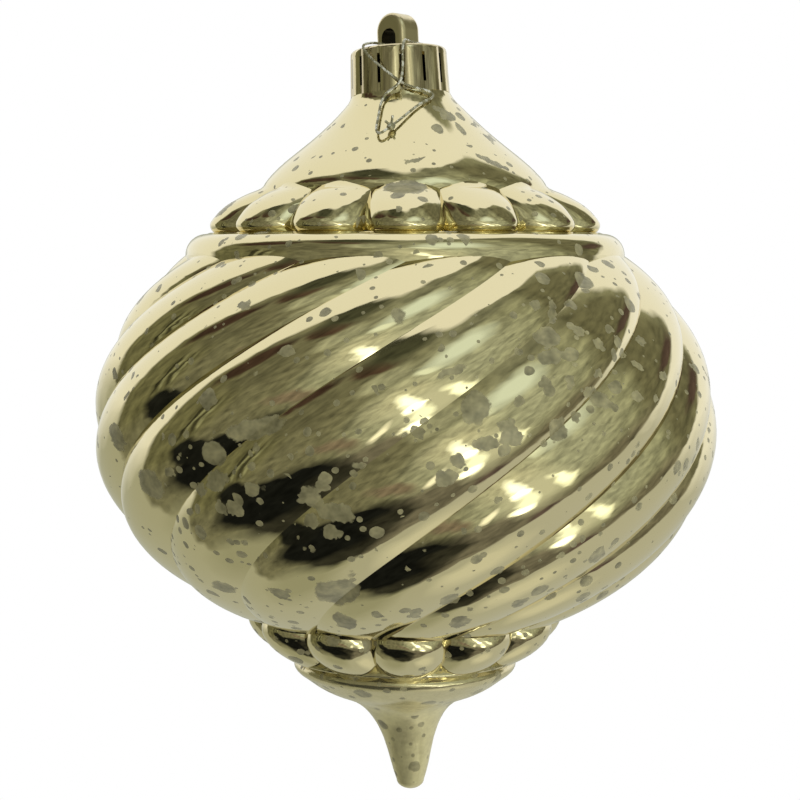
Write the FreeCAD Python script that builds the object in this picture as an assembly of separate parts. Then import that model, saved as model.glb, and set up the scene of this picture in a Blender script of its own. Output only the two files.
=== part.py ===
import FreeCAD, Part
import math
import os

# Blown glass onion ornament with fluted lobes, two rows of beads, a drawn
# point, a moulded cap with its hanger loop, and a knotted hanging thread.
# Millimetres, +Z up. The origin is the hanging point: the middle of the top
# of the hole in the hanger loop. Everything else hangs below it.

Vector = FreeCAD.Vector

# Hanger loop: a broad arch moulded on the cap, turned about the vertical
loop_width = 9.1
loop_depth = 6.8
loop_hole_width = 4.4
loop_hole_height = 5.1
loop_crown = 3.9
loop_turn = 42.0
loop_edge = 1.3
loop_sink = 0.4

# Cap: a lobed cup with upright slots, pushed over the neck of the glass and
# leaning a little to the left and back
cap_height = 11.4
cap_foot_radius = 12.45
cap_taper = 0.45
cap_lobes = 13
cap_lobe_phase = 2.5
cap_lobe_relief = 0.45
cap_shoulder = 1.3
cap_plate = 1.6
slot_width = 0.8
slot_depth = 1.3
slot_height = 7.2
slot_foot = 2.1
cap_lean = 2.6
cap_lean_back = 3.0

# Neck of the glass inside the cap, and the ledge that the cap stands on
neck_radius = 9.2
neck_gap = 0.35
neck_top_gap = 0.5
neck_root = 4.0
ledge_radius = 12.35

# Long cone from the cap's ledge down to the upper beads
cone_height = 22.2
cone_foot_radius = 35.5
neck_shift = 1.1

# Upper row of beads, and the ledge and round roll under it
upper_beads = 14
upper_bead_height = 11.8
upper_bead_radius = 49.3
upper_bead_relief = 6.4
roll_radius = 5.2
roll_overhang = 5.4
roll_lip = 0.9
roll_lip_drop = 0.3
roll_hem = 3.2

# Fluted body: lobes that wind round an egg of two half ellipses. The turn of
# the flutes is in degrees for each millimetre along the egg's outline, and
# slows a little on the way down
body_radius = 77.8
body_lobes = 14
body_relief = 2.7
shoulder_relief = 1.5
shoulder_share = 0.25
shoulder_drop = 4.2
upper_half_height = 59.3
upper_half_used = 0.7336
lower_half_height = 56.0
lower_half_used = 0.85
flute_phase = 5.7
flute_turn = 1.32
flute_slowing = 0.0028

# Lower row of beads, and the dome under it
lower_beads = 12
lower_bead_height = 13.7
lower_bead_radius = 39.7
lower_bead_foot_radius = 26.5
lower_bead_relief = 4.3
lower_bead_turn = 1.7
dome_radius = 28.1
dome_height = 8.7

# Drawn point, bent a little to the right
flare_radius = 14.2
point_height = 23.9
point_tip_radius = 3.3
point_shift = 1.4

# Hanging thread, and the knot with the thread's two cut tails
thread_diameter = 0.7
thread_bend = 0.45
knot_length = 1.9
knot_radius = 0.95
knot_end_radius = 0.6
knot_share = 0.54
tail_diameter = 0.6
up_tail_length = 2.6
left_tail_length = 2.0

# Levels worked out from the sizes above. The cap leans about the origin, and
# the glass below its ledge stands upright
cap_top_level = -loop_hole_height
cap_foot_level = cap_top_level - cap_height
cap_turn = FreeCAD.Rotation(Vector(1, 0, 0), -cap_lean_back).multiply(
    FreeCAD.Rotation(Vector(0, 1, 0), -cap_lean))
cap_axis = cap_turn.multVec(Vector(0, 0, 1))
ledge_centre = cap_axis * cap_foot_level
bead_top_level = ledge_centre.z - cone_height
bead_foot_level = bead_top_level - upper_bead_height
body_top_level = bead_foot_level - shoulder_drop
equator_level = body_top_level - upper_half_used * upper_half_height
body_foot_level = equator_level - lower_half_used * lower_half_height
dome_top_level = body_foot_level - lower_bead_height
flare_level = dome_top_level - dome_height
tip_level = flare_level - point_height


def axis_point(level, aside=0.0):
    """A point on the body's axis, or beside it to the right."""
    return Vector(ledge_centre.x + neck_shift + aside, ledge_centre.y, level)


def lean(shape):
    """Turns a shape about the hanging point to the lean of the cap."""
    shape.Placement = FreeCAD.Placement(Vector(0, 0, 0), cap_turn).multiply(shape.Placement)
    return shape


def ring_point(radius, angle, middle):
    """A point of a level ring: angle nought is at the front, and grows to the right."""
    angle = math.radians(angle)
    return middle + Vector(radius * math.sin(angle), -radius * math.cos(angle), 0)


def lobed_wire(crest, valley, count, turn, middle):
    """One level of a lobed form: round lobes that meet in sharp valleys."""
    pitch = 360.0 / count
    edges = []
    for lobe in range(count):
        start = turn + lobe * pitch
        edges.append(Part.Arc(ring_point(valley, start, middle),
                              ring_point(crest, start + pitch / 2, middle),
                              ring_point(valley, start + pitch, middle)).toShape())
    return Part.Wire(edges)


def smooth_loft(wires):
    """A closed solid through the wires, curved in cubics."""
    return Part.makeLoft(wires, True, False, False, 3)


def round_stack(middles, radii, normals):
    """A smooth round solid through circles whose middles may wander."""
    return smooth_loft([Part.Wire(Part.Circle(middle, normal, radius).toShape())
                        for middle, radius, normal in zip(middles, radii, normals)])


def revolved(edges):
    """The closed outline of edges, turned about the vertical through the origin."""
    return Part.Face(Part.Wire(edges)).revolve(Vector(0, 0, 0), Vector(0, 0, 1), 360)


def body_crest(level):
    """Radius of the lobes' crests at a level: two half ellipses."""
    rise = level - equator_level
    half = upper_half_height if rise > 0 else lower_half_height
    return body_radius * math.sqrt(1.0 - (rise / half) ** 2)


def make_cone():
    """The cone from the cap's ledge to the beads, a little off centre at its top."""
    # Share of the height above the beads, and share of the way out from the ledge
    outline = ((-0.20, 0.93), (-0.12, 0.985), (-0.05, 1.0), (0.0, 0.985), (0.10, 0.915),
               (0.20, 0.82), (0.30, 0.708), (0.445, 0.533), (0.60, 0.355), (0.78, 0.172),
               (0.89, 0.069), (1.0, 0.0))
    middles = []
    radii = []
    normals = []
    for share, part_out in outline:
        bent = max(share, 0.0) ** 3
        middles.append(axis_point(bead_top_level + share * cone_height, -neck_shift * bent))
        radii.append(ledge_radius + part_out * (cone_foot_radius - ledge_radius))
        normals.append(Vector(0, 0, 1) * (1 - bent) + cap_axis * bent)
    return round_stack(middles, radii, normals)


def make_neck():
    """The plain neck that the cap is pushed over, rooted in the cone."""
    neck_height = cap_height - cap_plate - neck_top_gap
    return lean(Part.makeCylinder(neck_radius, neck_height + neck_root,
                                  Vector(0, 0, cap_foot_level - neck_root)))


def make_upper_beads():
    """The bead row: arched lobes that swell out of the cone, down to a flat foot."""
    # Share of the height down, share of the way out from the cone, share of the relief
    outline = ((-0.07, -0.119, 0.22), (0.0, -0.022, 0.25), (0.093, 0.074, 0.31),
               (0.212, 0.326, 0.55), (0.322, 0.511, 0.70), (0.425, 0.659, 0.80),
               (0.636, 0.86, 0.93), (0.814, 0.965, 0.99), (0.915, 0.96, 1.0),
               (1.0, 0.89, 0.97))
    wires = []
    for share, part_out, deep in outline:
        crest = cone_foot_radius + part_out * (upper_bead_radius - cone_foot_radius)
        wires.append(lobed_wire(crest, crest - deep * upper_bead_relief, upper_beads,
                                180.0 / upper_beads,
                                axis_point(bead_top_level - share * upper_bead_height)))
    return smooth_loft(wires)


def make_roll():
    """The ledge under the beads and the quarter round that leads to the body."""
    outer = upper_bead_radius + roll_overhang
    inner = outer - roll_radius
    top = bead_foot_level
    bend = math.sqrt(0.5) * roll_radius
    start = Vector(0, 0, top)
    corner = Vector(inner - roll_lip, 0, top)
    crown = Vector(inner, 0, top - roll_lip_drop)
    middle = Vector(inner + bend, 0, crown.z - roll_radius + bend)
    side = Vector(outer, 0, crown.z - roll_radius)
    hem = Vector(outer, 0, side.z - roll_hem)
    under = Vector(inner, 0, hem.z - roll_radius)
    base = Vector(0, 0, under.z)
    roll = revolved([Part.LineSegment(start, corner).toShape(),
                     Part.LineSegment(corner, crown).toShape(),
                     Part.Arc(crown, middle, side).toShape(),
                     Part.LineSegment(side, hem).toShape(),
                     Part.LineSegment(hem, under).toShape(),
                     Part.LineSegment(under, base).toShape(),
                     Part.LineSegment(base, start).toShape()])
    roll.translate(axis_point(0))
    return roll


def make_fluted_body():
    """The winding lobes: each level is turned by the outline's length to it."""
    stations = 14
    steps = 40
    first = math.acos(upper_half_used)
    last = math.acos(-lower_half_used)
    wires = []
    length = 0.0
    before = Vector(body_crest(body_top_level), 0, body_top_level)
    for step in range(stations * steps + 1):
        share = step / (stations * steps)
        angle = first + share * (last - first)
        half = upper_half_height if angle < math.pi / 2 else lower_half_height
        level = equator_level + half * math.cos(angle)
        here = Vector(body_crest(level), 0, level)
        length += here.distanceToPoint(before)
        before = here
        if step % steps == 0:
            eased = min(1.0, share / shoulder_share)
            relief = shoulder_relief + (body_relief - shoulder_relief) * eased
            turn = flute_phase - flute_turn * length + flute_slowing * length ** 2
            wires.append(lobed_wire(here.x, here.x - relief, body_lobes, turn,
                                    axis_point(level)))
    return smooth_loft(wires)


def make_lower_beads():
    """The lower row: beads that stand out under the body and round in to the dome."""
    # Share of the height down, share of the way in from the widest, share of the relief
    outline = ((-0.12, 0.10, 1.0), (0.10, 0.0, 1.0), (0.25, 0.03, 1.0), (0.40, 0.13, 1.0),
               (0.55, 0.29, 0.95), (0.68, 0.48, 0.86), (0.80, 0.70, 0.68), (0.90, 0.90, 0.42),
               (0.96, 1.02, 0.22), (1.0, 1.10, 0.10))
    wires = []
    for share, part_in, deep in outline:
        crest = lower_bead_radius - part_in * (lower_bead_radius - lower_bead_foot_radius)
        wires.append(lobed_wire(crest, crest - deep * lower_bead_relief, lower_beads,
                                180.0 / lower_beads + lower_bead_turn,
                                axis_point(body_foot_level - share * lower_bead_height)))
    return smooth_loft(wires)


def make_dome_and_point():
    """The dome under the lower beads, flaring into the drawn point."""
    # Share of the height down, and share of the way out from the flare
    dome = ((-1.0, 0.75), (-0.30, 0.90), (-0.12, 0.985), (0.03, 1.0), (0.17, 0.935),
            (0.31, 0.813), (0.53, 0.626), (0.77, 0.345), (1.0, 0.0))
    # Share of the point's height down, and share of the way out from the tip
    point = ((0.088, 0.728), (0.176, 0.564), (0.264, 0.448), (0.435, 0.295), (0.611, 0.191),
             (0.787, 0.096), (0.90, 0.02))
    middles = []
    radii = []
    for share, part_out in dome:
        middles.append(axis_point(dome_top_level - share * dome_height))
        radii.append(flare_radius + part_out * (dome_radius - flare_radius))
    for share, part_out in point:
        middles.append(axis_point(flare_level - share * point_height,
                                  point_shift * (1 - (1 - share) ** 2)))
        radii.append(point_tip_radius + part_out * (flare_radius - point_tip_radius))
    stack = round_stack(middles, radii, [Vector(0, 0, 1)] * len(middles))
    flatten = FreeCAD.Matrix()
    flatten.scale(radii[-1], radii[-1], middles[-1].z - tip_level)
    tip = Part.makeSphere(1.0).transformGeometry(flatten)
    tip.translate(middles[-1])
    return stack.fuse(tip)


def make_glass():
    """All the blown forms as the one closed bulb that they are."""
    glass = make_cone()
    for form in (make_neck(), make_upper_beads(), make_roll(), make_fluted_body(),
                 make_lower_beads(), make_dome_and_point()):
        glass = glass.fuse(form)
    return glass


def arch_outline(half, crown, spring, foot):
    """An upright arch in the XZ plane: two straight sides and a half round top."""
    return Part.Wire([
        Part.LineSegment(Vector(-half, 0, foot), Vector(-half, 0, spring)).toShape(),
        Part.Arc(Vector(-half, 0, spring), Vector(0, 0, crown),
                 Vector(half, 0, spring)).toShape(),
        Part.LineSegment(Vector(half, 0, spring), Vector(half, 0, foot)).toShape(),
        Part.LineSegment(Vector(half, 0, foot), Vector(-half, 0, foot)).toShape()])


def make_loop():
    """The arch that hangs the ornament, with a tall rounded hole through it."""
    half = loop_width / 2
    gap = loop_hole_width / 2
    foot = cap_top_level - loop_sink
    depth = Vector(0, loop_depth, 0)
    arch = Part.Face(arch_outline(half, loop_crown, loop_crown - half, foot)).extrude(depth)
    rims = [edge for edge in arch.Edges
            if edge.BoundBox.YLength < loop_sink and edge.BoundBox.ZMax > cap_top_level]
    arch = arch.makeFillet(loop_edge, rims)
    arch = arch.cut(Part.Face(arch_outline(gap, 0.0, -gap, foot)).extrude(depth))
    arch.translate(depth * -0.5)
    arch.rotate(Vector(0, 0, 0), Vector(0, 0, 1), -loop_turn)
    return arch


def make_cap():
    """The lobed cup with its slots, its rounded shoulder, its bore and its loop."""
    crown_radius = cap_foot_radius - cap_taper
    foot = Vector(0, 0, cap_foot_level)
    top = Vector(0, 0, cap_top_level)
    wall = Part.makeLoft([lobed_wire(cap_foot_radius, cap_foot_radius - cap_lobe_relief,
                                     cap_lobes, cap_lobe_phase, foot),
                          lobed_wire(crown_radius, crown_radius - cap_lobe_relief,
                                     cap_lobes, cap_lobe_phase, top)], True, True)
    bend = math.sqrt(0.5) * cap_shoulder
    corner = Vector(crown_radius - cap_shoulder, 0, cap_top_level)
    middle = Vector(corner.x + bend, 0, cap_top_level - cap_shoulder + bend)
    side = Vector(crown_radius, 0, cap_top_level - cap_shoulder)
    outer = Vector(cap_foot_radius + cap_taper, 0, cap_foot_level)
    envelope = revolved([Part.LineSegment(top, corner).toShape(),
                         Part.Arc(corner, middle, side).toShape(),
                         Part.LineSegment(side, outer).toShape(),
                         Part.LineSegment(outer, foot).toShape(),
                         Part.LineSegment(foot, top).toShape()])
    slot_floor = crown_radius - cap_lobe_relief - slot_depth
    slots = []
    for slot in range(cap_lobes):
        cutter = Part.makeBox(slot_width, cap_foot_radius, slot_height,
                              Vector(-slot_width / 2, slot_floor, cap_foot_level + slot_foot))
        cutter.rotate(Vector(0, 0, 0), Vector(0, 0, 1),
                      180.0 + cap_lobe_phase + slot * 360.0 / cap_lobes)
        slots.append(cutter)
    bore = Part.makeCylinder(neck_radius + neck_gap, cap_height - cap_plate, foot)
    return lean(wall.common(envelope).fuse(make_loop()).cut(slots + [bore]))


# The thread's route, chosen by hand: from the knot round its short bight, up
# the front of the cap, round the right leg of the loop, through the hole from
# behind, over the cap's left shoulder, across its front and back to the knot
thread_route = [
    Vector(-3.6, -25.0, -27.0),
    Vector(-4.7, -24.5, -27.1),
    Vector(-5.1, -22.9, -26.0),
    Vector(-4.8, -20.6, -24.2),
    Vector(-4.4, -18.0, -21.7),
    Vector(-4.0, -15.7, -19.3),
    Vector(-3.2, -14.4, -17.5),
    Vector(-1.9, -14.3, -16.2),
    Vector(-0.4, -14.7, -15.2),
    Vector(0.9, -15.0, -13.8),
    Vector(1.2, -14.3, -11.7),
    Vector(1.3, -13.6, -9.0),
    Vector(1.2, -13.5, -6.0),
    Vector(1.6, -12.1, -3.6),
    Vector(2.8, -7.6, -3.7),
    Vector(4.5, -4.3, -3.8),
    Vector(6.7, -1.6, -3.9),
    Vector(7.4, 0.9, -4.0),
    Vector(5.9, 2.9, -4.1),
    Vector(3.4, 3.2, -4.2),
    Vector(1.0, 1.1, -4.3),
    Vector(-1.2, -1.4, -4.3),
    Vector(-3.4, -3.8, -4.1),
    Vector(-6.0, -6.9, -3.9),
    Vector(-8.8, -10.1, -4.8),
    Vector(-7.6, -11.5, -7.1),
    Vector(-4.6, -12.9, -9.9),
    Vector(-1.6, -13.6, -12.3),
    Vector(1.2, -13.8, -14.4),
    Vector(3.9, -13.7, -15.4),
    Vector(6.4, -12.9, -15.9),
    Vector(8.6, -12.3, -16.6),
    Vector(8.6, -13.5, -17.9),
    Vector(6.3, -15.6, -18.9),
    Vector(3.7, -18.1, -20.9),
    Vector(0.9, -21.0, -23.4),
]
knot_span = thread_route[0] - thread_route[-1]
knot_middle = thread_route[-1] + knot_span * knot_share
knot_axis = knot_span.normalize()


def make_thread():
    """The thread: straight runs joined by tangent arcs, from the knot to the knot."""
    half = knot_axis * (knot_length / 2)
    points = [knot_middle + half] + thread_route + [knot_middle - half]
    edges = []
    radii = []
    run_start = points[0]
    for before, corner, after in zip(points, points[1:], points[2:]):
        back = before - corner
        ahead = after - corner
        reach = thread_bend * min(back.Length, ahead.Length)
        half_turn = (math.pi - back.getAngle(ahead)) / 2
        radius = reach / math.tan(half_turn)
        radii.append(radius)
        enter = corner + back.normalize() * reach
        leave = corner + ahead.normalize() * reach
        inward = (back + ahead).normalize()
        middle = corner + inward * (radius / math.cos(half_turn) - radius)
        edges.append(Part.LineSegment(run_start, enter).toShape())
        edges.append(Part.Arc(enter, middle, leave).toShape())
        run_start = leave
    edges.append(Part.LineSegment(run_start, points[-1]).toShape())
    path = Part.Wire(edges)
    section = Part.Circle(points[0], points[1] - points[0], thread_diameter / 2)
    thread = path.makePipeShell([Part.Wire(section.toShape())], True, False)
    expected = math.pi * (thread_diameter / 2) ** 2 * path.Length
    print("thread length", round(path.Length, 1), "volume share",
          round(thread.Volume / expected, 4), "tightest radii",
          [round(value, 2) for value in sorted(radii)[:6]])
    return thread


def make_knot():
    """The overhand knot as a waisted barrel, with the thread's two cut tails."""
    half = knot_length / 2
    low = Vector(0, 0, -half)
    high = Vector(0, 0, half)
    low_rim = Vector(knot_end_radius, 0, -half)
    high_rim = Vector(knot_end_radius, 0, half)
    knot = revolved([Part.LineSegment(low, low_rim).toShape(),
                     Part.Arc(low_rim, Vector(knot_radius, 0, 0), high_rim).toShape(),
                     Part.LineSegment(high_rim, high).toShape(),
                     Part.LineSegment(high, low).toShape()])
    knot.Placement = FreeCAD.Placement(knot_middle, FreeCAD.Rotation(Vector(0, 0, 1), knot_axis))
    up_tail = Vector(0.15, -0.2, 0.95)
    left_tail = Vector(-0.7, -0.45, 0.6)
    tails = [Part.makeCylinder(tail_diameter / 2, length, knot_middle, way)
             for way, length in ((up_tail, up_tail_length), (left_tail, left_tail_length))]
    return knot.fuse(tails)


def export(name, shape):
    print(name, "solids", len(shape.Solids), "valid", shape.isValid(),
          "volume", round(shape.Volume, 1))
    shape.exportStep(os.path.join("parts", name + ".step"))


os.makedirs("parts", exist_ok=True)
export("glass_ornament", make_glass())
export("hanger_cap", make_cap())
export("hanging_thread", make_thread())
export("thread_knot", make_knot())
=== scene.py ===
import math

import bpy
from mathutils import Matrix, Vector


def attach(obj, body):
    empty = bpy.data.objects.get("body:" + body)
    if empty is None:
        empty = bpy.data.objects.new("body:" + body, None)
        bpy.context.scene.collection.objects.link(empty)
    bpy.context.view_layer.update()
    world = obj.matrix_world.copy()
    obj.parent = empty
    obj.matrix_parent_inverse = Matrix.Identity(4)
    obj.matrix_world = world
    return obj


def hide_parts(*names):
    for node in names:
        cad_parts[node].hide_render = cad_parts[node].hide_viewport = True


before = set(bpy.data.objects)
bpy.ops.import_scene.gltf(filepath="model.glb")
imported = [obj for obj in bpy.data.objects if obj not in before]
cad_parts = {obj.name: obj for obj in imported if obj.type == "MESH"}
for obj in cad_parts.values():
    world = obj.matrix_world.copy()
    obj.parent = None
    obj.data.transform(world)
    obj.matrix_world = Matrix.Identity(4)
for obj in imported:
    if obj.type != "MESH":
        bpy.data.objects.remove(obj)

bl_info = {
    "name": "Silvered onion ornament",
    "version": (1, 0, 0),
    "blender": (4, 2, 0),
    "location": "View3D > Sidebar > Ornament",
    "description": "Finishes, thread and stage of a silvered hanging ornament",
    "category": "Object",
}

OVAL_GROUP = "Oval reach"
MM = 0.001

# The body's axis and the camera's place, in millimetres in the frame of the nodes
BODY_AXIS_X = 1.85
BODY_AXIS_Y = -0.9
CAMERA_X = 0.6
EYE_LEVEL = -54.7

# The thread's route, the same points as its tube's, in millimetres
THREAD_ROUTE = (
    (-3.6, -25.0, -27.0),
    (-4.7, -24.5, -27.1),
    (-5.1, -22.9, -26.0),
    (-4.8, -20.6, -24.2),
    (-4.4, -18.0, -21.7),
    (-4.0, -15.7, -19.3),
    (-3.2, -14.4, -17.5),
    (-1.9, -14.3, -16.2),
    (-0.4, -14.7, -15.2),
    (0.9, -15.0, -13.8),
    (1.2, -14.3, -11.7),
    (1.3, -13.6, -9.0),
    (1.2, -13.5, -6.0),
    (1.6, -12.1, -3.6),
    (2.8, -7.6, -3.7),
    (4.5, -4.3, -3.8),
    (6.7, -1.6, -3.9),
    (7.4, 0.9, -4.0),
    (5.9, 2.9, -4.1),
    (3.4, 3.2, -4.2),
    (1.0, 1.1, -4.3),
    (-1.2, -1.4, -4.3),
    (-3.4, -3.8, -4.1),
    (-6.0, -6.9, -3.9),
    (-8.8, -10.1, -4.8),
    (-7.6, -11.5, -7.1),
    (-4.6, -12.9, -9.9),
    (-1.6, -13.6, -12.3),
    (1.2, -13.8, -14.4),
    (3.9, -13.7, -15.4),
    (6.4, -12.9, -15.9),
    (8.6, -12.3, -16.6),
    (8.6, -13.5, -17.9),
    (6.3, -15.6, -18.9),
    (3.7, -18.1, -20.9),
    (0.9, -21.0, -23.4),
)

# Where the knot's middle lies on the way from the route's last point to its first, the
# knot's length in millimetres, and a strand's radius as a share of the thread's diameter
KNOT_SHARE = 0.54
KNOT_LENGTH = 1.9
STRAND_SHARE = 0.27

# How far the flutes wind in a millimetre of height, the level of the cone's foot, and
# the levels between which the point grows rougher and is given a painted pale
# reflection, in millimetres
FLUTE_TURN = math.radians(1.32)
CONE_FOOT = -40.0
TIP_TOP = -154.0
TIP_FOOT = -170.0

# The silver: its streaks' squeeze along the height and their height beside the wave's,
# its roughness and what wear adds to it, and how far the point gives way to bare glass
# that carries its painted pale reflection
STREAK_SQUEEZE = 0.14
STREAK_HEIGHT = 0.16
SILVER_ROUGHNESS = 0.05
WEAR_ROUGHNESS = 0.22
TIP_PAINTED_REFLECTION_SHARE = 0.62

# The tone of the bare glass: its least, what its mottle adds, and what the painted pale
# reflection on the point adds
BARE_TONE = 0.1
MOTTLE_TONE = 1.5
TIP_PAINTED_REFLECTION_TONE = 1.1

# The cap leans about the origin: its axis, the radius that the slots' floors lie within
# and the level of the slots' top, in millimetres
CAP_AXIS = (-0.045, 0.052, 0.998)
CAP_SLOT_RADIUS = 11.1
CAP_SLOT_TOP = -7.0

# The loop: the way across its hole, half the hole's width and the loop's foot
ACROSS_LOOP = (0.743, -0.669, 0.0)
HOLE_HALF_WIDTH = 2.23
LOOP_FOOT = -5.0

# The cap's colours and streaks, the colour of the shade painted in its slots and hole,
# and how the loop differs from the cup
CAP_PALE = (0.82, 0.72, 0.46)
CAP_DARK = (0.30, 0.25, 0.15)
CAP_PAINTED_SHADE = (0.02, 0.018, 0.012)
CAP_STREAK_SQUEEZE = 0.05
CAP_STREAK_RISE = (0.36, 0.62)
CAP_STREAK_HEIGHT = 0.4
CAP_ROUGHNESS = 0.12
LOOP_ROUGHNESS_MORE = 0.16
LOOP_PALE_SHARE = 0.8

# The thread's flakes
THREAD_DARK = (0.42, 0.39, 0.26)
THREAD_PALE = (1.0, 0.98, 0.92)
FLAKE_RISE = (0.4, 0.7)

# What the silver shows of its surroundings, before its own tint: how far the directions
# waver in degrees, then the colours on the left and on the right
WAVER = 4.0
LEFT_BACKDROP = (0.98, 0.98, 0.93)
RIGHT_BACKDROP = (1.02, 1.03, 1.03)
LEFT_SWEEP = (0.46, 0.47, 0.38)
RIGHT_SWEEP = (0.56, 0.57, 0.52)
WALL_DARK = (0.20, 0.20, 0.14)
WALL_PALE = (0.36, 0.38, 0.28)

# Where the left passes into the right, as a share of the way to the side, and the sweep
# into the backdrop above it, in degrees
SIDE_RISE = (-0.5, 0.7)
BACKDROP_RISE = (-14.0, 4.0)

# The dim room's upright edges, in degrees: where they stand, from or up to what elevation
# they lean, how far in each degree, and half the width over which they blur. High up the
# right one falls back
LEFT_EDGE = -116.0
LEFT_LEAN_FROM = 32.0
LEFT_LEAN = 0.45
RIGHT_EDGE = 114.0
RIGHT_LEAN_UP_TO = 25.0
RIGHT_LEAN = 0.9
RIGHT_FALL_FROM = 60.0
RIGHT_FALL = 2.0
EDGE_BLUR = 2.0

# The room's floor and ceiling edges in degrees, and how strongly its light varies
FLOOR_RISE = (-90.0, -83.0)
CEILING_RISE = (84.0, 80.0)
ROOM_CONTRAST = 2.0

# Soft ovals: azimuth and elevation of the middle, half width and half height and
# tilt in degrees, softness of the edge, colour. Azimuth grows to the right. First come
# the room's own tones, then its lights, then what lies outside it
ROOM_PATCHES = (
    ("left wall", (-95.0, 12.0), (32.0, 34.0), 0.0, 0.5, (0.165, 0.165, 0.095)),
    ("left middle", (-66.0, 40.0), (26.0, 18.0), 0.0, 0.8, (0.16, 0.16, 0.11)),
    ("right wall", (112.0, 32.0), (24.0, 40.0), 0.0, 0.5, (0.18, 0.18, 0.12)),
    ("dim right corner", (98.0, -26.0), (28.0, 26.0), 0.0, 0.6, (0.19, 0.18, 0.14)),
    ("pale corner", (-22.0, 49.0), (16.0, 11.0), 0.0, 0.8, (0.44, 0.46, 0.36)),
    ("pale middle", (32.0, 14.0), (40.0, 50.0), 0.0, 0.8, (0.45, 0.48, 0.39)),
    ("floor on the right", (48.0, -66.0), (84.0, 36.0), 0.0, 0.4, (0.19, 0.18, 0.15)),
    ("pale haze", (10.0, 12.0), (22.0, 15.0), -45.0, 1.0, (0.62, 0.63, 0.50)),
    ("ceiling on the right", (60.0, 78.0), (80.0, 9.0), 0.0, 0.6, (0.24, 0.25, 0.19)),
    ("brown corner", (-95.0, 44.0), (17.0, 8.0), 38.0, 0.5, (0.06, 0.038, 0.030)),
    ("brown band", (-58.0, 62.0), (26.0, 5.0), 0.0, 0.6, (0.085, 0.055, 0.042)),
    ("brown patch", (121.0, 22.0), (12.0, 6.0), 10.0, 0.6, (0.095, 0.067, 0.062)),
    ("dark ceiling", (-72.0, 76.0), (52.0, 13.0), 0.0, 0.6, (0.07, 0.075, 0.05)),
    ("dark bar", (-86.0, 9.0), (1.8, 14.0), 0.0, 0.6, (0.05, 0.05, 0.03)),
    ("pale bar", (-82.0, 8.0), (1.6, 13.0), 0.0, 0.6, (0.30, 0.31, 0.20)),
    ("second dark bar", (-77.0, 8.0), (1.8, 13.0), 0.0, 0.6, (0.06, 0.06, 0.035)),
    ("second pale bar", (-73.0, 7.0), (1.6, 12.0), 0.0, 0.6, (0.30, 0.31, 0.20)),
    ("reddish band", (-14.0, -17.0), (20.0, 5.0), -35.0, 0.8, (0.24, 0.20, 0.16)),
    ("mauve band", (76.0, -44.0), (15.0, 5.0), 0.0, 0.6, (0.12, 0.09, 0.09)),
    ("dark underside", (-38.0, -74.0), (62.0, 17.0), 0.0, 0.5, (0.035, 0.035, 0.028)),
    ("black patch", (-42.0, -48.0), (50.0, 24.0), -6.0, 0.3, (0.009, 0.010, 0.010)),
    ("black upper end", (-72.0, -23.0), (20.0, 10.0), -38.0, 0.35, (0.012, 0.013, 0.012)),
    ("black right end", (2.0, -55.0), (22.0, 11.0), -8.0, 0.6, (0.035, 0.035, 0.028)),
)
LAMP_PATCHES = (
    ("high light", (31.0, 50.0), (21.0, 13.0), 12.0, 0.9, (0.86, 0.98, 0.94)),
    ("high light's corner", (12.0, 38.0), (8.0, 4.0), -20.0, 0.9, (1.0, 1.1, 0.98)),
    ("lamp haze", (36.0, -14.0), (28.0, 15.0), -42.0, 0.9, (0.70, 0.72, 0.60)),
    ("lamp streak", (17.0, 1.0), (17.0, 3.0), -50.0, 0.9, (2.2, 2.3, 2.1)),
    ("lamp core", (25.0, -11.0), (6.5, 4.0), -40.0, 0.8, (4.0, 4.1, 3.8)),
    ("low streak", (36.0, -24.0), (14.0, 4.5), -46.0, 0.9, (1.5, 1.6, 1.4)),
    ("low core", (40.0, -33.0), (8.0, 3.0), -10.0, 0.8, (3.2, 3.3, 3.0)),
    ("far streak", (51.0, -12.0), (16.0, 3.2), -38.0, 0.9, (1.9, 2.0, 1.7)),
    ("small lamp", (13.0, -24.0), (4.0, 7.0), 0.0, 0.9, (1.4, 1.4, 1.25)),
)
SWEEP_PATCHES = (
    ("bright floor", (112.0, -68.0), (34.0, 12.0), 0.0, 0.9, (0.74, 0.74, 0.64)),
    ("dim floor", (-128.0, -68.0), (34.0, 16.0), 0.0, 0.9, (0.38, 0.39, 0.30)),
    ("dim patch behind", (180.0, 0.0), (13.0, 20.0), 0.0, 0.6, (0.42, 0.43, 0.34)),
    ("its other half", (-180.0, 0.0), (13.0, 20.0), 0.0, 0.6, (0.42, 0.43, 0.34)),
)

# Layers of scattered spots: cells in a metre, largest spot as a share of a cell, share
# of the cells that hold one, and how ragged they are
SPOT_LAYERS = (
    (95.0, 0.40, 0.40, 0.16),
    (190.0, 0.42, 0.66, 0.18),
    (360.0, 0.42, 0.74, 0.18),
)

# A layer's smallest spot as a share of its largest, the softness of the edges, and how
# the share of cells with a spot rises where the spots gather
SMALLEST_SPOT = 0.2
SPOT_EDGE = 0.03
GATHER_RISE = 2.6
GATHER_START = -0.55

# The placed patches' outlines: how far they stray, in degrees and millimetres, how soft
# they are, and a reach that lies outside all of them
PATCH_STRAY = 1.3
PATCH_EDGE = 0.06
FAR_OUT = 2.0

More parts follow.
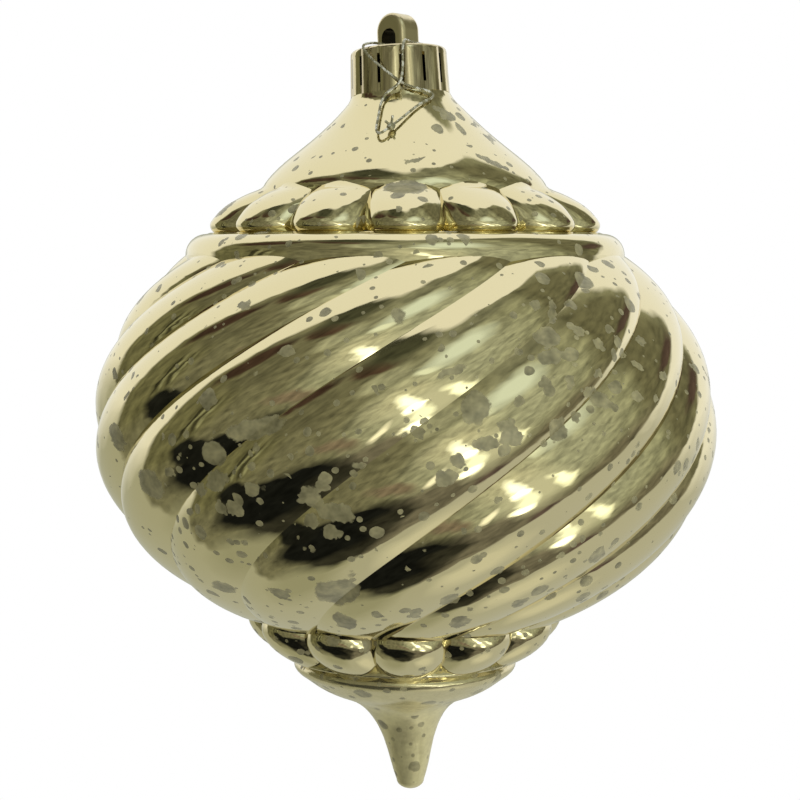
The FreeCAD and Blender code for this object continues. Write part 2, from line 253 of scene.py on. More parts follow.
# The larger patches where the silvering has gone: azimuth in degrees round the body, level
# in millimetres, half width in degrees, half height in millimetres and tilt in degrees
LOST_PATCHES = (
    (36.2, -22.4, 7.5, 1.5, 0.0),
    (21.3, -25.7, 3.8, 1.3, 0.0),
    (39.4, -25.7, 3.0, 1.5, 0.0),
    (50.6, -22.4, 4.5, 0.8, 0.0),
    (63.5, -27.4, 5.7, 1.0, 0.0),
    (41.5, -33.8, 6.3, 1.0, -12.0),
    (30.7, -20.7, 5.9, 0.8, 0.0),
    (62.9, -24.1, 8.0, 0.8, 0.0),
    (4.5, -33.8, 4.8, 0.5, 6.0),
    (-25.6, -93.3, 5.5, 2.2, 20.0),
    (-33.3, -105.3, 2.8, 2.4, 30.0),
    (-11.5, -111.0, 3.2, 2.1, -15.0),
    (-15.8, -107.6, 1.6, 2.3, 0.0),
    (-14.0, -105.3, 1.3, 1.6, 0.0),
    (-16.1, -113.2, 1.5, 1.8, 0.0),
    (-12.6, -115.3, 1.6, 1.8, 0.0),
    (-61.1, -98.2, 2.4, 3.2, 0.0),
    (-49.3, -107.6, 3.2, 3.6, 25.0),
    (26.6, -73.8, 2.3, 2.3, 0.0),
    (25.7, -77.9, 2.8, 1.5, 15.0),
    (11.4, -88.3, 2.3, 3.3, -20.0),
    (25.9, -93.3, 2.1, 2.5, 0.0),
    (-14.3, -130.7, 5.0, 3.4, 20.0),
    (7.6, -80.6, 2.7, 1.0, 25.0),
    (13.1, -95.8, 2.4, 1.5, 0.0),
    (17.3, -94.6, 2.0, 1.8, 0.0),
    (-15.4, -139.0, 3.1, 2.5, 0.0),
    (13.5, -139.0, 2.5, 1.8, 0.0),
    (-27.1, -131.6, 2.3, 1.5, 0.0),
    (-34.7, -87.1, 1.8, 2.0, 0.0),
    (-33.0, -66.9, 1.8, 1.0, 0.0),
    (-20.8, -76.6, 1.5, 1.3, 0.0),
    (-25.6, -106.4, 1.4, 1.5, 0.0),
    (-29.4, -111.0, 1.7, 1.8, 0.0),
    (-37.7, -107.6, 1.7, 1.5, 0.0),
    (16.2, -92.1, 1.4, 1.5, 0.0),
    (8.2, -99.4, 1.5, 1.8, 0.0),
    (6.4, -103.0, 1.7, 2.0, 0.0),
    (2.4, -136.3, 1.5, 1.8, 0.0),
    (9.7, -132.6, 2.0, 1.5, 0.0),
    (25.8, -134.4, 1.9, 1.3, 0.0),
    (27.9, -185.5, 17.0, 1.5, 0.0),
    (-0.1, -40.2, 8.0, 1.6, 0.0),
)

# Small dots, most of them on the lobes to the right: one half width in degrees and half
# height in millimetres for them all, then the azimuth and level of each
DOT_HALF_SIZE = (1.15, 1.15)
LOST_DOTS = (
    (25.8, -66.9),
    (29.9, -66.9),
    (29.6, -68.9),
    (34.9, -66.9),
    (33.4, -72.5),
    (40.8, -72.5),
    (42.1, -75.2),
    (43.4, -77.9),
    (49.8, -75.2),
    (45.6, -80.6),
    (35.4, -81.9),
    (28.5, -83.2),
    (32.3, -85.8),
    (36.0, -88.3),
    (29.7, -90.9),
    (42.8, -87.1),
    (51.2, -83.2),
    (36.7, -75.2),
    (28.7, -77.9),
    (23.5, -83.2),
    (-41.3, -113.2),
    (-43.2, -104.1),
    (1.8, -93.3),
    (18.6, -87.1),
)


class OrnamentSettings(bpy.types.PropertyGroup):
    """What can be set by itself in the ornament's looks."""

    camera_distance: bpy.props.FloatProperty(
        name="Camera distance", description="From the body's axis to the camera",
        default=0.48, min=0.1, unit="LENGTH")
    focal_length: bpy.props.FloatProperty(
        name="Focal length", description="Of the camera's lens, in millimetres",
        default=85.9, min=10.0)
    camera_pitch: bpy.props.FloatProperty(
        name="Camera pitch", description="How far the camera looks down",
        default=math.radians(4.494), subtype="ANGLE")
    silver_tint: bpy.props.FloatVectorProperty(
        name="Silver tint", description="Colour that the silvering gives its reflections",
        default=(0.76, 0.68, 0.42), size=3, subtype="COLOR", min=0.0, max=1.0)
    spot_tint: bpy.props.FloatVectorProperty(
        name="Spot tint", description="Colour of the glass where the silvering is missing",
        default=(0.57, 0.51, 0.31), size=3, subtype="COLOR", min=0.0, max=1.0)
    thread_diameter: bpy.props.FloatProperty(
        name="Thread diameter", description="Over the thread's twisted strands",
        default=0.7 * MM, min=0.1 * MM, unit="LENGTH")
    thread_pitch: bpy.props.FloatProperty(
        name="Thread pitch", description="Length in which a strand goes round once",
        default=2.2 * MM, min=0.5 * MM, unit="LENGTH")
    thread_strands: bpy.props.IntProperty(
        name="Thread strands", description="Strands twisted into the thread",
        default=3, min=2, max=6)
    fill_strength: bpy.props.FloatProperty(
        name="Fill strength", description="Strength of the light from the surroundings",
        default=1.0, min=0.0)


def settings():
    """The ornament's settings in the scene."""
    return bpy.context.scene.ornament


def millimetres(points):
    """Points given in millimetres as vectors in metres."""
    return [Vector(point) * MM for point in points]


def new_material(name):
    """A material with an empty node tree."""
    material = bpy.data.materials.new(name)
    material.use_nodes = True
    material.node_tree.nodes.clear()
    return material


def add(tree, kind, **values):
    """A node of a kind, with its properties and the values on its sockets set."""
    node = tree.nodes.new(kind)
    for key, value in values.items():
        if hasattr(node, key):
            setattr(node, key, value)
        else:
            node.inputs[key.replace("_", " ")].default_value = value
    return node


def math_node(tree, operation, first, second=None, third=None, clamp=False):
    """A math node whose inputs are sockets or plain numbers; returns its output."""
    node = tree.nodes.new("ShaderNodeMath")
    node.operation = operation
    node.use_clamp = clamp
    for place, value in enumerate((first, second, third)):
        if value is None:
            continue
        if isinstance(value, bpy.types.NodeSocket):
            tree.links.new(value, node.inputs[place])
        else:
            node.inputs[place].default_value = value
    return node.outputs[0]


def mix_colour(tree, mask, low, high):
    """Mixes two colours, each a socket or a plain colour, by a mask."""
    node = tree.nodes.new("ShaderNodeMix")
    node.data_type = "RGBA"
    for name, value in (("Factor_Float", mask), ("A_Color", low), ("B_Color", high)):
        socket = next(item for item in node.inputs if item.identifier == name)
        if isinstance(value, bpy.types.NodeSocket):
            tree.links.new(value, socket)
        elif name == "Factor_Float":
            socket.default_value = value
        else:
            socket.default_value = (*value, 1.0)
    return next(item for item in node.outputs if item.identifier == "Result_Color")


def rise(tree, value, low, high):
    """Nought up to low, then evenly up to one at high."""
    return math_node(tree, "DIVIDE", math_node(tree, "SUBTRACT", value, low), high - low,
                     clamp=True)


def past(tree, value, mark):
    """How far a value lies past a mark, and nought before it."""
    return math_node(tree, "MAXIMUM", math_node(tree, "SUBTRACT", value, mark), 0.0)


def degrees(tree, value):
    """An angle turned from radians into degrees."""
    return math_node(tree, "DEGREES", value)


def centred(tree, value, reach):
    """A noise value turned into a shift to both sides."""
    return math_node(tree, "MULTIPLY", math_node(tree, "SUBTRACT", value, 0.5), 2 * reach)


def joined(tree, first, second):
    """A flat place out of two values, with one as its third for the ovals' sums."""
    node = add(tree, "ShaderNodeCombineXYZ", Z=1.0)
    tree.links.new(first, node.inputs["X"])
    tree.links.new(second, node.inputs["Y"])
    return node.outputs["Vector"]


def scaled(tree, vector, scale):
    """A vector drawn out or squeezed along its three axes."""
    node = add(tree, "ShaderNodeVectorMath", operation="MULTIPLY")
    node.inputs[1].default_value = scale
    tree.links.new(vector, node.inputs[0])
    return node.outputs["Vector"]


def separated(tree, kind, source):
    """The three parts of a vector or a colour, each a socket."""
    node = tree.nodes.new(kind)
    tree.links.new(source, node.inputs[0])
    return node.outputs


def noise(tree, vector, **values):
    """A noise texture on a vector, with its scale, detail and roughness as given."""
    node = add(tree, "ShaderNodeTexNoise", **values)
    tree.links.new(vector, node.inputs["Vector"])
    return node


def mixed_shaders(tree, mask, low, high):
    """One shader out of two, by a mask."""
    node = add(tree, "ShaderNodeMixShader")
    for place, source in enumerate((mask, low, high)):
        tree.links.new(source, node.inputs[place])
    return node.outputs["Shader"]


def oval_group():
    """A node group: how far a place lies out from an oval's middle, one at its edge.

    Along and Over hold the slopes of the two half axes and the middle's own share. The
    group is built once, and the glass and the surroundings share it.
    """
    group = bpy.data.node_groups.get(OVAL_GROUP)
    if group is not None:
        return group
    group = bpy.data.node_groups.new(OVAL_GROUP, "ShaderNodeTree")
    for name in ("Place", "Along", "Over"):
        group.interface.new_socket(name, in_out="INPUT", socket_type="NodeSocketVector")
    group.interface.new_socket("Reach", in_out="OUTPUT", socket_type="NodeSocketFloat")
    entry = group.nodes.new("NodeGroupInput")
    leave = group.nodes.new("NodeGroupOutput")
    both = add(group, "ShaderNodeCombineXYZ")
    for name, target in (("Along", "X"), ("Over", "Y")):
        share = add(group, "ShaderNodeVectorMath", operation="DOT_PRODUCT")
        group.links.new(entry.outputs["Place"], share.inputs[0])
        group.links.new(entry.outputs[name], share.inputs[1])
        group.links.new(share.outputs["Value"], both.inputs[target])
    reach = add(group, "ShaderNodeVectorMath", operation="LENGTH")
    group.links.new(both.outputs["Vector"], reach.inputs[0])
    group.links.new(reach.outputs["Value"], leave.inputs["Reach"])
    return group


def oval_reach(tree, group, place, middle, half_size, tilt):
    """The reach of one oval, with its tilt in degrees."""
    node = tree.nodes.new("ShaderNodeGroup")
    node.node_tree = group
    tree.links.new(place, node.inputs["Place"])
    across, upward = middle
    cosine = math.cos(math.radians(tilt))
    sine = math.sin(math.radians(tilt))
    node.inputs["Along"].default_value = Vector(
        (cosine, sine, -across * cosine - upward * sine)) / half_size[0]
    node.inputs["Over"].default_value = Vector(
        (-sine, cosine, across * sine - upward * cosine)) / half_size[1]
    return node.outputs["Reach"]


def painted(tree, group, place, seen, patches):
    """A colour with named soft ovals of other colours laid over it in turn."""
    for name, middle, half_size, tilt, edge, colour in patches:
        reach = oval_reach(tree, group, place, middle, half_size, tilt)
        reach.node.label = name
        mask = rise(tree, reach, 1 + edge / 2, 1 - edge / 2)
        seen = mix_colour(tree, mask, seen, colour)
    return seen


def spot_group():
    """A node group: round spots of mixed sizes, thinned out where they gather less."""
    group = bpy.data.node_groups.new("Silvering spots", "ShaderNodeTree")
    group.interface.new_socket("Vector", in_out="INPUT", socket_type="NodeSocketVector")
    for name in ("Scale", "Size", "Share", "Ragged", "Uneven", "Gather"):
        group.interface.new_socket(name, in_out="INPUT", socket_type="NodeSocketFloat")
    group.interface.new_socket("Mask", in_out="OUTPUT", socket_type="NodeSocketFloat")
    entry = group.nodes.new("NodeGroupInput")
    leave = group.nodes.new("NodeGroupOutput")

    cells = add(group, "ShaderNodeTexVoronoi")
    group.links.new(entry.outputs["Vector"], cells.inputs["Vector"])
    group.links.new(entry.outputs["Scale"], cells.inputs["Scale"])
    draw, growth, _ = separated(group, "ShaderNodeSeparateColor", cells.outputs["Color"])
    rim = math_node(group, "MULTIPLY_ADD", entry.outputs["Uneven"], entry.outputs["Ragged"],
                    cells.outputs["Distance"])
    grown = math_node(group, "MULTIPLY", growth, growth)
    share = math_node(group, "MULTIPLY_ADD", grown, 1 - SMALLEST_SPOT, SMALLEST_SPOT)
    reach = math_node(group, "MULTIPLY", entry.outputs["Size"], share)
    inside = math_node(group, "DIVIDE", math_node(group, "SUBTRACT", reach, rim), SPOT_EDGE,
                       clamp=True)
    gathered = math_node(group, "MULTIPLY_ADD", entry.outputs["Gather"], GATHER_RISE,
                         GATHER_START)
    crowd = math_node(group, "MULTIPLY", entry.outputs["Share"], gathered)
    chosen = math_node(group, "LESS_THAN", draw, crowd)
    mask = math_node(group, "MULTIPLY", inside, chosen)
    group.links.new(mask, leave.inputs["Mask"])
    return group


def scattered_spots(tree, place, level, uneven):
    """The mask of the round spots, of which only the smallest lie on the cone too."""
    gather = noise(tree, place, Scale=38.0, Detail=1.0).outputs["Fac"]
    group = spot_group()
    masks = []
    for layer in SPOT_LAYERS:
        spots = tree.nodes.new("ShaderNodeGroup")
        spots.node_tree = group
        for name, value in zip(("Scale", "Size", "Share", "Ragged"), layer):
            spots.inputs[name].default_value = value
        for name, value in (("Vector", place), ("Uneven", uneven), ("Gather", gather)):
            tree.links.new(value, spots.inputs[name])
        masks.append(spots.outputs["Mask"])
    below_cone = math_node(tree, "LESS_THAN", level, CONE_FOOT)
    large = math_node(tree, "MULTIPLY", math_node(tree, "MAXIMUM", *masks[:2]), below_cone)
    return math_node(tree, "MAXIMUM", large, masks[2])


def placed_patches(tree, place, level, sideways, upward):
    """The mask of the patches and dots placed one by one, their outlines led astray."""
    x, y, _ = separated(tree, "ShaderNodeSeparateXYZ", place)
    across = math_node(tree, "SUBTRACT", x, BODY_AXIS_X * MM)
    towards = math_node(tree, "SUBTRACT", BODY_AXIS_Y * MM, y)
    azimuth = degrees(tree, math_node(tree, "ARCTAN2", across, towards))
    spread = joined(tree,
                    math_node(tree, "ADD", azimuth, centred(tree, sideways, PATCH_STRAY)),
                    math_node(tree, "ADD", level, centred(tree, upward, PATCH_STRAY)))
    places = [((around, height), (half_width, half_height), tilt)
              for around, height, half_width, half_height, tilt in LOST_PATCHES]
    places += [(dot, DOT_HALF_SIZE, 0.0) for dot in LOST_DOTS]
    ovals = oval_group()
    nearest = FAR_OUT
    for middle, half_size, tilt in places:
        reach = oval_reach(tree, ovals, spread, middle, half_size, tilt)
        nearest = math_node(tree, "MINIMUM", nearest, reach)
    return rise(tree, nearest, 1 + PATCH_EDGE, 1 - PATCH_EDGE)


def lost_silver(tree, place, level):
    """The mask of all places where the silvering has gone."""
    ragged = noise(tree, place, Scale=420.0, Detail=2.0).outputs["Color"]
    sideways, upward, rim = separated(tree, "ShaderNodeSeparateColor", ragged)
    spots = scattered_spots(tree, place, level, centred(tree, rim, reach=0.5))
    patches = placed_patches(tree, place, level, sideways, upward)
    return math_node(tree, "MAXIMUM", spots, patches)


def silver_material():
    """Silvered glass, drawn a little along its flutes, with spots where the silvering has
    gone and a painted pale reflection on its point.
    """
    values = settings()
    material = new_material("silvered_glass")
    tree = material.node_tree
    place = add(tree, "ShaderNodeTexCoord").outputs["Object"]
    height = separated(tree, "ShaderNodeSeparateXYZ", place)["Z"]
    level = math_node(tree, "DIVIDE", height, MM)
    # The point grows rougher towards its end, and a pale reflection is painted on it there
    worn_and_painted_tip = rise(tree, level, TIP_TOP, TIP_FOOT)

    # The place turned back as the flutes wind, so that a pattern follows them
    unwound = add(tree, "ShaderNodeVectorRotate", rotation_type="Z_AXIS")
    unwound.inputs["Center"].default_value = (BODY_AXIS_X * MM, BODY_AXIS_Y * MM, 0.0)
    tree.links.new(place, unwound.inputs["Vector"])
    tree.links.new(math_node(tree, "MULTIPLY", level, -FLUTE_TURN), unwound.inputs["Angle"])
    drawn = scaled(tree, unwound.outputs["Vector"], (1.0, 1.0, STREAK_SQUEEZE))
    streaks = noise(tree, drawn, Scale=230.0, Detail=2.0, Roughness=0.55).outputs["Fac"]
    wave = noise(tree, place, Scale=55.0, Detail=2.0, Roughness=0.5).outputs["Fac"]
    relief = math_node(tree, "MULTIPLY_ADD", streaks, STREAK_HEIGHT, wave)
    bump = add(tree, "ShaderNodeBump", Strength=0.28, Distance=0.35 * MM)
    tree.links.new(relief, bump.inputs["Height"])

    mirror = add(tree, "ShaderNodeBsdfPrincipled", Metallic=1.0)
    mirror.inputs["Base Color"].default_value = (*values.silver_tint, 1.0)
    roughness = math_node(tree, "MULTIPLY_ADD", worn_and_painted_tip, WEAR_ROUGHNESS, SILVER_ROUGHNESS)
    tree.links.new(roughness, mirror.inputs["Roughness"])
    tree.links.new(bump.outputs["Normal"], mirror.inputs["Normal"])

    bare = add(tree, "ShaderNodeBsdfPrincipled", Metallic=0.1, Roughness=0.5)
    mottle = noise(tree, place, Scale=320.0, Detail=2.0, Roughness=0.7).outputs["Fac"]
    tone = add(tree, "ShaderNodeVectorMath", operation="SCALE")
    tone.inputs[0].default_value = values.spot_tint
    spots = lost_silver(tree, place, level)
    # The painted pale reflection on the point, kept off the spots there so that they stay
    # darker
    tip_painted_reflection = math_node(tree, "MULTIPLY", worn_and_painted_tip, math_node(tree, "SUBTRACT", 1.0, spots))
    paler = math_node(tree, "MULTIPLY_ADD", tip_painted_reflection, TIP_PAINTED_REFLECTION_TONE, BARE_TONE)
    tree.links.new(math_node(tree, "MULTIPLY_ADD", mottle, MOTTLE_TONE, paler),
                   tone.inputs["Scale"])
    tree.links.new(tone.outputs["Vector"], bare.inputs["Base Color"])
    bare.inputs["Coat Weight"].default_value = 0.5
    bare.inputs["Coat Roughness"].default_value = 0.12

    # The point shows partly the bare glass, which carries the painted pale reflection
    lost_silver_and_painted_tip = math_node(tree, "MAXIMUM", spots, math_node(tree, "MULTIPLY", worn_and_painted_tip, TIP_PAINTED_REFLECTION_SHARE))
    surface = mixed_shaders(tree, lost_silver_and_painted_tip, mirror.outputs["BSDF"], bare.outputs["BSDF"])
    out = add(tree, "ShaderNodeOutputMaterial")
    tree.links.new(surface, out.inputs["Surface"])
    return material


def cap_material():
    """Metallised moulding, browner than the glass, streaked upright, with painted shade in
    its slots and in the loop's hole.
    """
    material = new_material("metallised_cap")
    tree = material.node_tree
    place = add(tree, "ShaderNodeTexCoord").outputs["Object"]
    height = separated(tree, "ShaderNodeSeparateXYZ", place)["Z"]

    across_axis = add(tree, "ShaderNodeVectorMath", operation="CROSS_PRODUCT")
    across_axis.inputs[1].default_value = CAP_AXIS
    tree.links.new(place, across_axis.inputs[0])
    radius = add(tree, "ShaderNodeVectorMath", operation="LENGTH")
    tree.links.new(across_axis.outputs["Vector"], radius.inputs[0])
    # Shade is painted in the slots: inside the radius of their floors and below their top
    inward = math_node(tree, "LESS_THAN", radius.outputs["Value"], CAP_SLOT_RADIUS * MM)
    below = math_node(tree, "LESS_THAN", height, CAP_SLOT_TOP * MM)
    slot_painted_shade = math_node(tree, "MULTIPLY", inward, below)

    # The loop's hole, straight up to where its half-round top springs, is painted dark inside
    # as shade
    across_hole = add(tree, "ShaderNodeVectorMath", operation="DOT_PRODUCT")
    across_hole.inputs[1].default_value = ACROSS_LOOP
    tree.links.new(place, across_hole.inputs[0])
    on_loop = math_node(tree, "GREATER_THAN", height, LOOP_FOOT * MM)
    arch = add(tree, "ShaderNodeCombineXYZ")
    tree.links.new(across_hole.outputs["Value"], arch.inputs["X"])
    tree.links.new(past(tree, height, -HOLE_HALF_WIDTH * MM), arch.inputs["Y"])
    from_arch = add(tree, "ShaderNodeVectorMath", operation="LENGTH")
    tree.links.new(arch.outputs["Vector"], from_arch.inputs[0])
    within = math_node(tree, "LESS_THAN", from_arch.outputs["Value"], HOLE_HALF_WIDTH * MM)
    hole_painted_shade = math_node(tree, "MULTIPLY", on_loop, within)

    # Pale and dark streaks run upright, and the loop is paler than the cup
    upright = scaled(tree, place, (1.0, 1.0, CAP_STREAK_SQUEEZE))
    streaks = noise(tree, upright, Scale=420.0, Detail=3.0, Roughness=0.6).outputs["Fac"]
    pale_share = math_node(tree, "MAXIMUM", rise(tree, streaks, *CAP_STREAK_RISE),
                           math_node(tree, "MULTIPLY", on_loop, LOOP_PALE_SHARE))
    shell_colour = mix_colour(tree, pale_share, CAP_DARK, CAP_PALE)
    # The slots and the hole take the painted shade's colour
    colour = mix_colour(tree, math_node(tree, "MAXIMUM", slot_painted_shade, hole_painted_shade), shell_colour,
                        CAP_PAINTED_SHADE)
    wave = noise(tree, place, Scale=160.0, Detail=1.0).outputs["Fac"]
    relief = math_node(tree, "MULTIPLY_ADD", streaks, CAP_STREAK_HEIGHT, wave)
    bump = add(tree, "ShaderNodeBump", Strength=0.2, Distance=0.15 * MM)
    tree.links.new(relief, bump.inputs["Height"])
    shell = add(tree, "ShaderNodeBsdfPrincipled", Metallic=1.0)
    tree.links.new(colour, shell.inputs["Base Color"])
    roughness = math_node(tree, "MULTIPLY_ADD", on_loop, LOOP_ROUGHNESS_MORE, CAP_ROUGHNESS)
    tree.links.new(roughness, shell.inputs["Roughness"])
    tree.links.new(bump.outputs["Normal"], shell.inputs["Normal"])
    out = add(tree, "ShaderNodeOutputMaterial")
    tree.links.new(shell.outputs["BSDF"], out.inputs["Surface"])
    return material


def thread_material():
    """Metallic film thread that sparkles along its twist."""
    material = new_material("metallic_thread")
    tree = material.node_tree
    place = add(tree, "ShaderNodeTexCoord").outputs["Object"]
    grain = add(tree, "ShaderNodeTexVoronoi", Scale=1000.0)
    tree.links.new(place, grain.inputs["Vector"])
    flake = separated(tree, "ShaderNodeSeparateColor", grain.outputs["Color"])["Red"]
    colour = mix_colour(tree, rise(tree, flake, *FLAKE_RISE), THREAD_DARK, THREAD_PALE)
    bump = add(tree, "ShaderNodeBump", Strength=0.8, Distance=0.12 * MM)
    tree.links.new(grain.outputs["Distance"], bump.inputs["Height"])
    film = add(tree, "ShaderNodeBsdfPrincipled", Metallic=0.55, Roughness=0.28)
    tree.links.new(colour, film.inputs["Base Color"])
    tree.links.new(bump.outputs["Normal"], film.inputs["Normal"])
    out = add(tree, "ShaderNodeOutputMaterial")
    tree.links.new(film.outputs["BSDF"], out.inputs["Surface"])
    return material


def wavering(tree, place, right, away, up):
    """Azimuth from the camera's side and elevation, in degrees that waver a little."""
    waver = noise(tree, place, Scale=4.5, Detail=1.0).outputs["Color"]
    sideways, upward, _ = separated(tree, "ShaderNodeSeparateColor", waver)
    towards = math_node(tree, "MULTIPLY", away, -1.0)
    azimuth = degrees(tree, math_node(tree, "ARCTAN2", right, towards))
    elevation = degrees(tree, math_node(tree, "ARCSINE", up))
    return (math_node(tree, "ADD", azimuth, centred(tree, sideways, WAVER)),
            math_node(tree, "ADD", elevation, centred(tree, upward, WAVER)))


def room_mask(tree, azimuth, elevation):
    """One inside the dim room, whose two upright edges lean over as they rise."""
    left_lean = math_node(tree, "MULTIPLY", past(tree, elevation, LEFT_LEAN_FROM), LEFT_LEAN)
    left_edge = math_node(tree, "ADD", left_lean, LEFT_EDGE)
    rising = math_node(tree, "MINIMUM", elevation, RIGHT_LEAN_UP_TO)
    right_lean = math_node(tree, "MULTIPLY", rising, RIGHT_LEAN)
    right_fall = math_node(tree, "MULTIPLY", past(tree, elevation, RIGHT_FALL_FROM),
                           RIGHT_FALL)
    right_edge = math_node(tree, "SUBTRACT", math_node(tree, "ADD", right_lean, RIGHT_EDGE),
                           right_fall)
    past_left = math_node(tree, "SUBTRACT", azimuth, left_edge)
    before_right = math_node(tree, "SUBTRACT", right_edge, azimuth)
    inside = math_node(tree, "MULTIPLY", rise(tree, past_left, -EDGE_BLUR, EDGE_BLUR),
                       rise(tree, before_right, -EDGE_BLUR, EDGE_BLUR))
    between = math_node(tree, "MULTIPLY", rise(tree, elevation, *FLOOR_RISE),
                        rise(tree, elevation, *CEILING_RISE))
    return math_node(tree, "MULTIPLY", inside, between)


def reflected_colour(tree):
    """What the silver sees: a dim room in front and a pale sweep and backdrop behind."""
    place = add(tree, "ShaderNodeTexCoord").outputs["Generated"]
    right, away, up = separated(tree, "ShaderNodeSeparateXYZ", place)
    azimuth, elevation = wavering(tree, place, right, away, up)
    direction = joined(tree, azimuth, elevation)
    side = rise(tree, right, *SIDE_RISE)
    sweep = mix_colour(tree, side, LEFT_SWEEP, RIGHT_SWEEP)
    backdrop = mix_colour(tree, side, LEFT_BACKDROP, RIGHT_BACKDROP)
    behind = mix_colour(tree, rise(tree, elevation, *BACKDROP_RISE), sweep, backdrop)

    # The room's tones lie under an uneven light, and its lamps shine over them
    unevenness = noise(tree, place, Scale=8.0, Detail=3.0, Roughness=0.55).outputs["Fac"]
    walls = mix_colour(tree, side, WALL_DARK, WALL_PALE)
    ovals = oval_group()
    lit = add(tree, "ShaderNodeVectorMath", operation="SCALE")
    tree.links.new(painted(tree, ovals, direction, walls, ROOM_PATCHES), lit.inputs[0])
    tree.links.new(math_node(tree, "MULTIPLY", unevenness, ROOM_CONTRAST),
                   lit.inputs["Scale"])
    room = painted(tree, ovals, direction, lit.outputs["Vector"], LAMP_PATCHES)
    seen = mix_colour(tree, room_mask(tree, azimuth, elevation), behind, room)
    return painted(tree, ovals, direction, seen, SWEEP_PATCHES)


def surroundings():
    """A white studio for the camera, and the reflected colours for all other rays."""
    world = bpy.data.worlds.new("Studio")
    bpy.context.scene.world = world
    world.use_nodes = True
    tree = world.node_tree
    tree.nodes.clear()
    glow = add(tree, "ShaderNodeBackground", Strength=settings().fill_strength)
    tree.links.new(reflected_colour(tree), glow.inputs["Color"])
    white = add(tree, "ShaderNodeBackground", Strength=1.0)
    white.inputs["Color"].default_value = (1.0, 1.0, 1.0, 1.0)
    rays = add(tree, "ShaderNodeLightPath")
    both = mixed_shaders(tree, rays.outputs["Is Camera Ray"], glow.outputs["Background"],
                         white.outputs["Background"])
    out = add(tree, "ShaderNodeOutputWorld")
    tree.links.new(both, out.inputs["Surface"])


def thread_spline(name, points):
    """One open NURBS line of order three through given control points."""
    curve = bpy.data.curves.new(name, "CURVE")
    curve.dimensions = "3D"
    curve.resolution_u = 12
    spline = curve.splines.new("NURBS")
    spline.points.add(len(points) - 1)
    for point, place in zip(spline.points, points):
        point.co = (*place, 1.0)
    spline.order_u = 3
    spline.use_endpoint_u = True
    return curve


def curve_mesh(curve):
    """The mesh that Blender makes of a curve."""
    holder = bpy.data.objects.new("curve_holder", curve)
    bpy.context.scene.collection.objects.link(holder)
    mesh = bpy.data.meshes.new_from_object(holder)
    bpy.data.objects.remove(holder)
    return mesh


def line_points(curve):
    """The points that Blender gives along a curve that has no bevel."""
    mesh = curve_mesh(curve)
    points = [vertex.co.copy() for vertex in mesh.vertices]
    bpy.data.meshes.remove(mesh)
    return points


def line_frames(points):
    """A point, a tangent and two normals that don't twist, all along a line."""
    frames = []
    side = None
    for place, point in enumerate(points):
        ahead = points[min(place + 1, len(points) - 1)]
        behind = points[max(place - 1, 0)]
        tangent = (ahead - behind).normalized()
        if side is None:
            side = tangent.orthogonal().normalized()
        side = (side - tangent * side.dot(tangent)).normalized()
        frames.append((point, tangent, side, tangent.cross(side)))
    return frames


def strand_mesh(name, points, radius, strand_radius, pitch, strands):
    """Strands twisted round a line, each a bevelled curve, as one mesh."""
    frames = line_frames(points)
    curve = bpy.data.curves.new(name, "CURVE")
    curve.dimensions = "3D"
    curve.bevel_depth = strand_radius
    curve.bevel_resolution = 2
    curve.use_fill_caps = True
    for strand in range(strands):
        spline = curve.splines.new("POLY")
        spline.points.add(len(frames) - 1)
        length = 0.0
        for place, (point, tangent, side, up) in enumerate(frames):
            if place:
                length += (point - frames[place - 1][0]).length
            turn = 2 * math.pi * (length / pitch + strand / strands)
            out = side * math.cos(turn) + up * math.sin(turn)
            spline.points[place].co = (*(point + out * radius), 1.0)
    return curve_mesh(curve)


def add_piece(name, mesh, material):
    """A new piece of the scene that rides on the ornament."""
    piece = bpy.data.objects.new(name, mesh)
    bpy.context.scene.collection.objects.link(piece)
    piece.data.materials.append(material)
    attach(piece, "root")
    return piece


def knot_frame():
    """The middle of the knot, and the way the thread runs through it."""
    points = millimetres(THREAD_ROUTE)
    span = points[0] - points[-1]
    return points[-1] + span * KNOT_SHARE, span.normalized()


class ORNAMENT_OT_camera(bpy.types.Operator):
    """Sets the camera in front of the ornament, looking down a little"""

    bl_idname = "ornament.camera"
    bl_label = "Add the camera"

    def execute(self, context):
        values = settings()
        data = bpy.data.cameras.new("Camera")
        data.lens = values.focal_length
        data.sensor_width = 36.0
        data.clip_start = 0.01
        data.clip_end = 10.0
        camera = bpy.data.objects.new("Camera", data)
        context.scene.collection.objects.link(camera)
        camera.location = (CAMERA_X * MM, BODY_AXIS_Y * MM - values.camera_distance,
                           EYE_LEVEL * MM)
        camera.rotation_euler = (math.pi / 2 - values.camera_pitch, 0.0, 0.0)
        context.scene.camera = camera
        return {"FINISHED"}


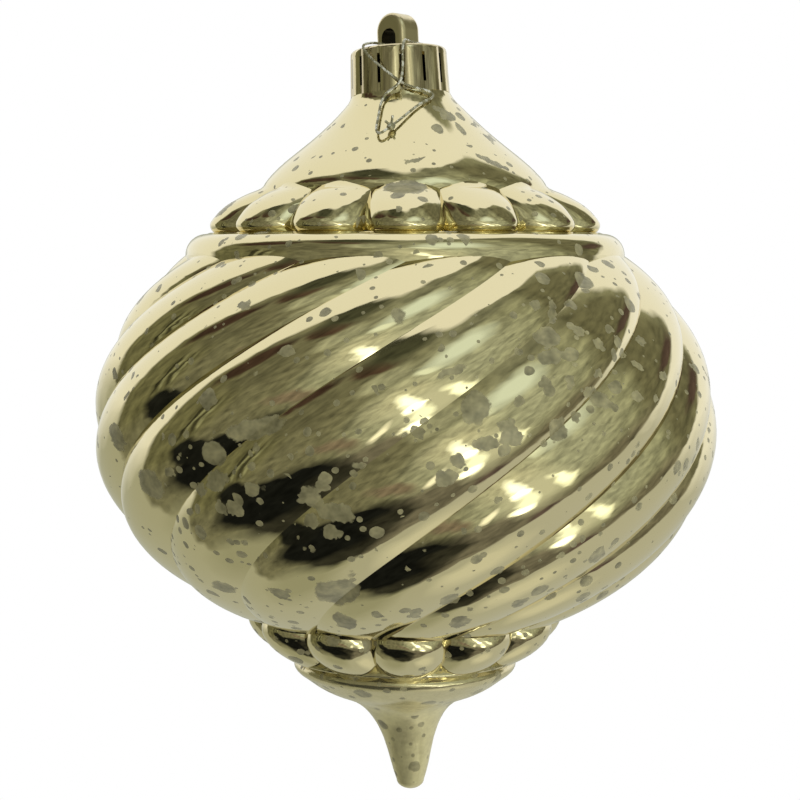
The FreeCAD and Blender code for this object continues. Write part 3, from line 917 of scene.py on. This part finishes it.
class ORNAMENT_OT_thread(bpy.types.Operator):
    bl_idname = "ornament.thread"
    bl_label = "Add the thread and knot"

    def execute(self, context):
        values = settings()
        middle, axis = knot_frame()
        half = axis * (KNOT_LENGTH * MM / 2)
        route = [middle + half, *millimetres(THREAD_ROUTE), middle - half]
        line = line_points(thread_spline("thread_line", route))
        strand = values.thread_diameter * STRAND_SHARE
        mesh = strand_mesh("thread", line, values.thread_diameter / 2 - strand, strand,
                           values.thread_pitch, values.thread_strands)
        material = thread_material()
        thread = add_piece("twisted_thread", mesh, material)
        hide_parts("hanging_thread")
        bpy.data.objects["thread_knot"].data.materials[0] = material
        return {"FINISHED"}


class ORNAMENT_OT_finishes(bpy.types.Operator):
    """Gives the glass and the cap their finishes"""

    bl_idname = "ornament.finishes"
    bl_label = "Finish the glass and cap"

    def execute(self, context):
        for node, material in (("glass_ornament", silver_material()),
                               ("hanger_cap", cap_material())):
            mesh = bpy.data.objects[node].data
            for place in range(len(mesh.materials)):
                mesh.materials[place] = material
        return {"FINISHED"}


class ORNAMENT_OT_stage(bpy.types.Operator):
    """Sets the white studio and what the silver reflects of it"""

    bl_idname = "ornament.stage"
    bl_label = "Set the stage"

    def execute(self, context):
        surroundings()
        context.scene.view_settings.view_transform = "Standard"
        return {"FINISHED"}


class ORNAMENT_PT_panel(bpy.types.Panel):
    """Settings and steps of the ornament"""

    bl_label = "Silvered onion ornament"
    bl_idname = "ORNAMENT_PT_panel"
    bl_space_type = "VIEW_3D"
    bl_region_type = "UI"
    bl_category = "Ornament"

    def draw(self, context):
        values = context.scene.ornament
        for name in values.bl_rna.properties.keys():
            if name not in ("rna_type", "name"):
                self.layout.prop(values, name)
        for step in STEPS:
            self.layout.operator(step.bl_idname)


STEPS = (ORNAMENT_OT_camera, ORNAMENT_OT_thread, ORNAMENT_OT_finishes, ORNAMENT_OT_stage)
CLASSES = (OrnamentSettings, *STEPS, ORNAMENT_PT_panel)


def register():
    for item in CLASSES:
        bpy.utils.register_class(item)
    bpy.types.Scene.ornament = bpy.props.PointerProperty(type=OrnamentSettings)


def unregister():
    del bpy.types.Scene.ornament
    for item in reversed(CLASSES):
        bpy.utils.unregister_class(item)


def main():
    """Makes the whole scene."""
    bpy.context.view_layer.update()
    register()
    bpy.ops.ornament.camera()
    bpy.ops.ornament.thread()
    bpy.ops.ornament.finishes()
    bpy.ops.ornament.stage()


if __name__ == "__main__":
    main()
